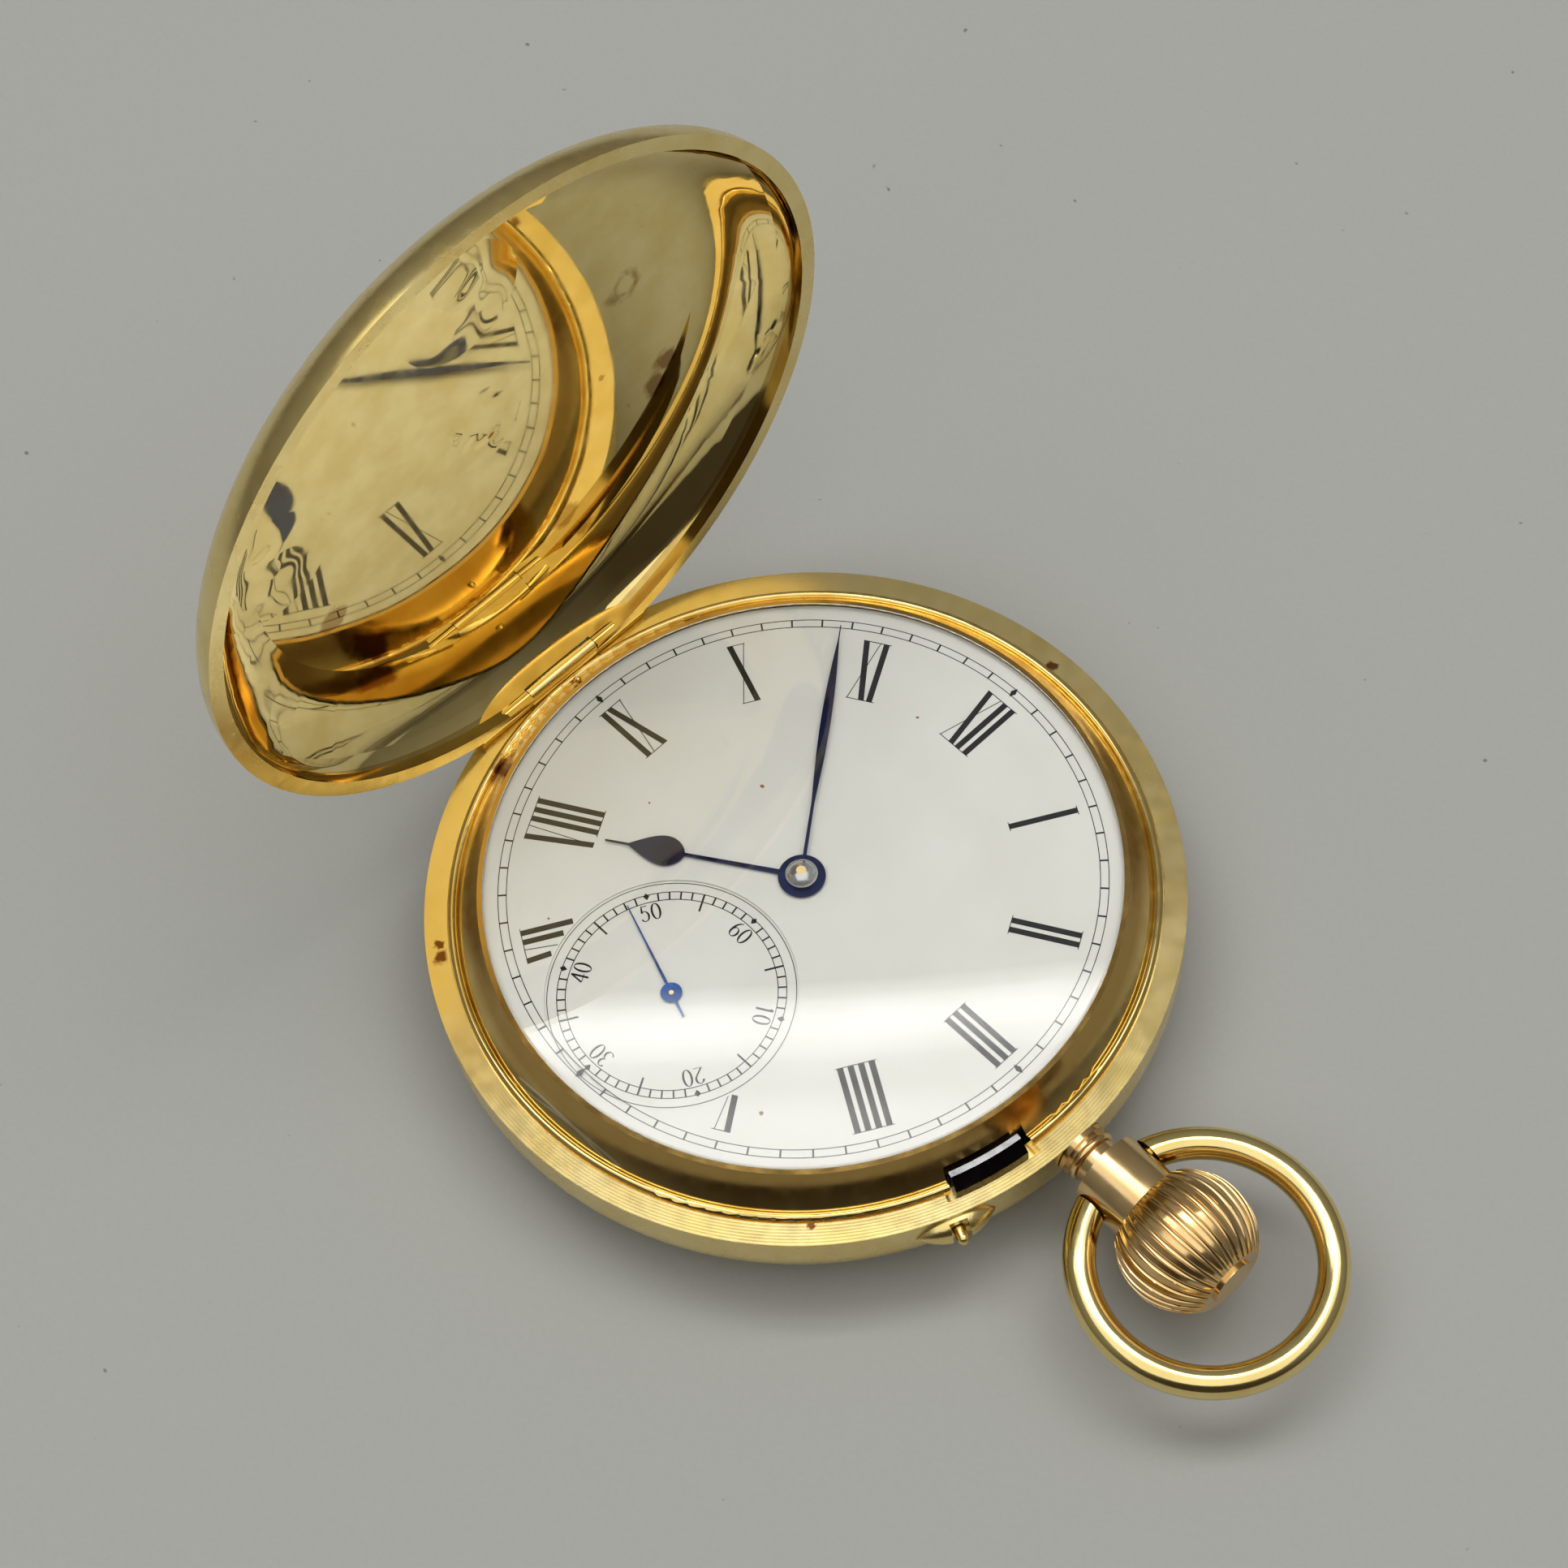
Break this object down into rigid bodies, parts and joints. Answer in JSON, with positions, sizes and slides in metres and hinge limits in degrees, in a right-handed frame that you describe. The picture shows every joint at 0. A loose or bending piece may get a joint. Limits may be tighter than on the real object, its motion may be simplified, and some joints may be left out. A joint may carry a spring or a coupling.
{
  "type": "full hunter pocket watch",
  "caption": "Full hunter pocket watch lying open, with a hinged front cover, domed crystal, white dial with a seconds dial, ribbed winding crown and swinging bow.",
  "frame": {"origin": "centre of the small flat on the back cover that the watch rests on", "axes": "+Z out of the dial, +X towards the crown and the three, +Y towards the twelve; the covers are hinged at -X"},
  "size_m": [0.0723, 0.0496, 0.0572],
  "materials": {
    "case_gold": "polished",
    "rose_gold": "polished",
    "gilt_brass": "frosted gilt",
    "steel": "polished",
    "blued_steel": "heat blued",
    "enamel": "glossy white enamel on copper with black numerals",
    "crystal": "polished",
    "ruby": "polished"
  },
  "bodies": {
    "case": {"case_band": "case_gold", "bezel": "case_gold", "crystal": "crystal", "front_hinge_pin": "case_gold", "back_hinge_pin": "case_gold", "pendant": "rose_gold", "pendant_sleeve": "steel", "button_guard": "case_gold", "lift_spring": "blued_steel", "case_screws": "steel", "dial": "enamel", "main_plate": "gilt_brass", "barrel_bridge": "gilt_brass", "train_bridge": "gilt_brass", "balance_cock": "gilt_brass", "pallet_cock": "gilt_brass", "plate_screws": "blued_steel", "jewels": "ruby", "click_spring": "steel", "hairspring_stud": "steel", "regulator_index": "steel", "end_jewel": "ruby", "crown_wheel_screw": "steel"},
    "front_cover": {"front_cover": "case_gold"},
    "back_cover": {"back_cover": "case_gold"},
    "cuvette": {"cuvette": "case_gold"},
    "winding_pinion": {"winding_pinion": "steel"},
    "crown": {"crown": "rose_gold", "stem": "steel"},
    "crown_wheel": {"crown_wheel": "steel"},
    "ratchet": {"ratchet_wheel": "steel", "ratchet_screw": "steel", "barrel_arbor": "steel"},
    "click": {"click": "steel"},
    "lock_spring": {"lock_spring": "blued_steel"},
    "bow": {"bow": "case_gold"},
    "set_button": {"set_button": "case_gold"},
    "setting_lever": {"setting_lever": "steel"},
    "seconds": {"fourth_wheel": "gilt_brass", "seconds_hand": "blued_steel"},
    "third": {"third_wheel": "gilt_brass"},
    "minutes": {"centre_wheel": "gilt_brass", "cannon_pinion": "steel", "minute_hand": "blued_steel"},
    "barrel": {"barrel_drum": "gilt_brass", "barrel_cover": "gilt_brass", "mainspring": "steel"},
    "escape": {"escape_wheel": "steel"},
    "minute_wheel": {"minute_wheel": "gilt_brass"},
    "hours": {"hour_wheel": "gilt_brass", "hour_hand": "blued_steel"},
    "pallets": {"pallet_lever": "steel", "pallet_jewels": "ruby"},
    "balance": {"balance_wheel": "gilt_brass", "balance_screws": "case_gold", "balance_staff": "steel", "roller": "steel", "hairspring": "blued_steel"}
  },
  "joints": [
    {"name": "front_cover_hinge", "type": "hinge", "parent": "case", "child": "front_cover", "pos_m": [-0.02375, 0, 0.00862], "axis": [0, 1, 0], "range_deg": [0, 89]},
    {"name": "back_cover_hinge", "type": "hinge", "parent": "case", "child": "back_cover", "pos_m": [-0.02375, 0, 0.00405], "axis": [0, 1, 0], "range_deg": [0, 95]},
    {"name": "cuvette_hinge", "type": "hinge", "parent": "case", "child": "cuvette", "pos_m": [-0.02375, 0, 0.00405], "axis": [0, 1, 0], "range_deg": [0, 81]},
    {"name": "crown_turn", "type": "hinge", "parent": "case", "child": "winding_pinion", "pos_m": [0.0165, 0, 0.00645], "axis": [1, 0, 0], "continuous": true},
    {"name": "crown_press", "type": "slide", "parent": "winding_pinion", "child": "crown", "axis": [-1, 0, 0], "range_m": [0, 0.0008], "stiffness_N_per_m": 2000},
    {"name": "lock_spring_flex", "type": "hinge", "parent": "case", "child": "lock_spring", "pos_m": [0.0068, -0.0209, 0.006], "axis": [0, 0, 1], "range_deg": [0, 0.93]},
    {"name": "bow_swing", "type": "hinge", "parent": "case", "child": "bow", "pos_m": [0.02825, 0, 0.00645], "axis": [0, 1, 0], "range_deg": [-85, 85]},
    {"name": "crown_wheel_turn", "type": "hinge", "parent": "case", "child": "crown_wheel", "pos_m": [0.01239, 0.00091, 0.0036], "axis": [0, 0, 1], "continuous": true},
    {"name": "ratchet_turn", "type": "hinge", "parent": "case", "child": "ratchet", "pos_m": [0.00478, 0.00828, 0.0036], "axis": [0, 0, 1], "continuous": true, "deforming": ["mainspring"]},
    {"name": "click_lift", "type": "hinge", "parent": "case", "child": "click", "pos_m": [-0.00075, 0.01487, 0.0034], "axis": [0, 0, 1], "range_deg": [0, 8], "stiffness_Nm_per_rad": 0.00001},
    {"name": "set_button_press", "type": "slide", "parent": "case", "child": "set_button", "axis": [-0.9291, 0.3697, 0], "range_m": [0, 0.0006], "stiffness_N_per_m": 200},
    {"name": "setting_lever_turn", "type": "hinge", "parent": "case", "child": "setting_lever", "pos_m": [0.014, -0.0118, 0.0064], "axis": [0, 0, 1], "range_deg": [0, 5.4]},
    {"name": "seconds_turn", "type": "hinge", "parent": "case", "child": "seconds", "pos_m": [0, -0.01158, 0.0065], "axis": [0, 0, -1], "continuous": true},
    {"name": "third_turn", "type": "hinge", "parent": "case", "child": "third", "pos_m": [0.00528, -0.00729, 0.0065], "axis": [0, 0, -1], "continuous": true},
    {"name": "minutes_turn", "type": "hinge", "parent": "case", "child": "minutes", "pos_m": [0, 0, 0.0065], "axis": [0, 0, -1], "continuous": true},
    {"name": "barrel_turn", "type": "hinge", "parent": "case", "child": "barrel", "pos_m": [0.00478, 0.00828, 0.0065], "axis": [0, 0, -1], "continuous": true, "deforming": ["mainspring"]},
    {"name": "escape_turn", "type": "hinge", "parent": "case", "child": "escape", "pos_m": [-0.00584, -0.01001, 0.0064], "axis": [0, 0, -1], "continuous": true},
    {"name": "minute_wheel_turn", "type": "hinge", "parent": "case", "child": "minute_wheel", "pos_m": [0.00386, -0.00104, 0.0085], "axis": [0, 0, -1], "continuous": true},
    {"name": "hours_turn", "type": "hinge", "parent": "case", "child": "hours", "pos_m": [0, 0, 0.009], "axis": [0, 0, -1], "continuous": true},
    {"name": "pallet_rock", "type": "hinge", "parent": "case", "child": "pallets", "pos_m": [-0.00807, -0.0065, 0.0066], "axis": [0, 0, 1], "range_deg": [-5, 5]},
    {"name": "balance_swing", "type": "hinge", "parent": "case", "child": "balance", "pos_m": [-0.0109, -0.00202, 0.0043], "axis": [0, 0, 1], "range_deg": [-270, 270], "stiffness_Nm_per_rad": 0.0000014, "deforming": ["hairspring"]}
  ],
  "couplings": [
    {"joint": "cuvette_hinge", "follows": "back_cover_hinge", "ratio": 0.85},
    {"joint": "lock_spring_flex", "follows": "crown_press", "rad_per_m": 20.071},
    {"joint": "crown_wheel_turn", "follows": "crown_turn", "ratio": 0.47059},
    {"joint": "ratchet_turn", "follows": "crown_turn", "ratio": -0.33333},
    {"joint": "setting_lever_turn", "follows": "set_button_press", "rad_per_m": 155},
    {"joint": "third_turn", "follows": "seconds_turn", "ratio": -0.13333},
    {"joint": "minutes_turn", "follows": "seconds_turn", "ratio": 0.016667},
    {"joint": "barrel_turn", "follows": "seconds_turn", "ratio": -0.0020833},
    {"joint": "escape_turn", "follows": "seconds_turn", "ratio": -10},
    {"joint": "minute_wheel_turn", "follows": "seconds_turn", "ratio": -0.0055556},
    {"joint": "hours_turn", "follows": "seconds_turn", "ratio": 0.0013889}
  ]
}
